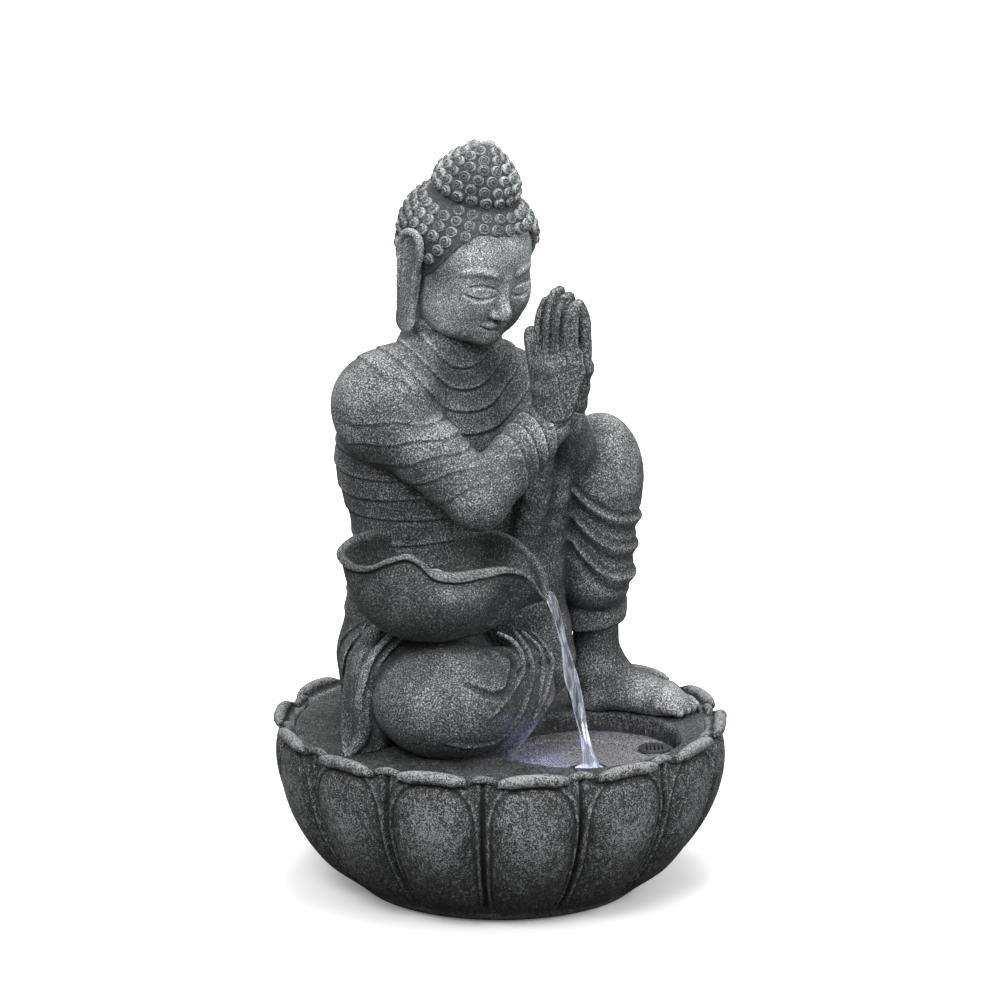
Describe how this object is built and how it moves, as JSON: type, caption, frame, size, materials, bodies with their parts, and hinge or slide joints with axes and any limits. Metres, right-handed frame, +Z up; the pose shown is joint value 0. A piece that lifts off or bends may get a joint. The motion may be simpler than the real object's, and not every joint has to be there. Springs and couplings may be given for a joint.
{
  "type": "tabletop water fountain",
  "caption": "Tabletop fountain: a kneeling praying figure in a lotus basin beside a leaf bowl that pours a lit stream, with the pump, tube, light and leads inside.",
  "frame": {"origin": "centre of the plane that the base pads rest on", "axes": "+Z up, -Y the front that the leaf bowl and its stream face, +X to the right seen from the front"},
  "size_m": [0.2396, 0.239, 0.397],
  "materials": {
    "cast_stone": "dark grey granite-look cast resin with fine pale specks",
    "rubber": "matt black",
    "pump_plastic": "satin black",
    "dial_plastic": "charcoal",
    "white_plastic": "off-white",
    "foam": "open-cell foam",
    "magnet_nickel": "nickel plated",
    "ferrite": "sintered ferrite",
    "shaft_ceramic": "polished alumina",
    "bush_rubber": "matt",
    "copper": "enamelled copper wire",
    "core_steel": "laminated sheet steel",
    "clear_vinyl": "clear soft vinyl",
    "spring_steel": "stainless",
    "lens": "clear moulded lens",
    "circuit_board": "solder mask",
    "led_chip": "white light chips",
    "lead_sheath": "black sheath",
    "dowel_wood": "plain beech",
    "water": "falling water"
  },
  "bodies": {
    "fountain": {"lotus_basin": "cast_stone", "basin_deck": "cast_stone", "figure_body": "cast_stone", "figure_head": "cast_stone", "praying_hands": "cast_stone", "leaf_bowl": "cast_stone", "base_pads": "rubber", "cable_grommet": "rubber", "suction_cups": "rubber", "led_gasket": "rubber", "volute_ring": "rubber", "inlet_washer": "rubber", "pump_housing": "pump_plastic", "pump_back": "pump_plastic", "volute_cover": "pump_plastic", "outlet_nozzle": "pump_plastic", "bowl_inlet": "pump_plastic", "inlet_nut": "pump_plastic", "lead_splice": "pump_plastic", "pool_strainer": "pump_plastic", "led_housing": "white_plastic", "led_nut": "white_plastic", "frame_magnets": "magnet_nickel", "impeller_shaft": "shaft_ceramic", "shaft_bushes": "bush_rubber", "stator_coils": "copper", "stator_core": "core_steel", "water_tube": "clear_vinyl", "tube_clips": "spring_steel", "splice_clip": "spring_steel", "clip_screw": "spring_steel", "led_lens": "lens", "led_board": "circuit_board", "led_chips": "led_chip", "led_lead": "lead_sheath", "pump_lead": "lead_sheath", "neck_dowel": "dowel_wood", "water_stream": "water"},
    "door": {"access_door": "cast_stone", "door_magnets": "magnet_nickel"},
    "rotor": {"impeller": "white_plastic", "rotor_magnet": "ferrite"},
    "intake": {"intake_cover": "pump_plastic", "filter_sponge": "foam"},
    "dial": {"flow_dial": "dial_plastic"}
  },
  "joints": [
    {"name": "impeller_spin", "type": "hinge", "parent": "fountain", "child": "rotor", "pos_m": [-0.034, 0.028, 0.031], "axis": [0, 1, 0], "continuous": true},
    {"name": "door_pull", "type": "slide", "parent": "fountain", "child": "door", "axis": [0, 1, 0], "range_m": [0, 0.062]},
    {"name": "intake_pull", "type": "slide", "parent": "fountain", "child": "intake", "axis": [0, -1, 0], "range_m": [0, 0.03]},
    {"name": "dial_turn", "type": "hinge", "parent": "intake", "child": "dial", "pos_m": [-0.034, 0.005, 0.031], "axis": [0, 1, 0], "range_deg": [0, 90]}
  ]
}
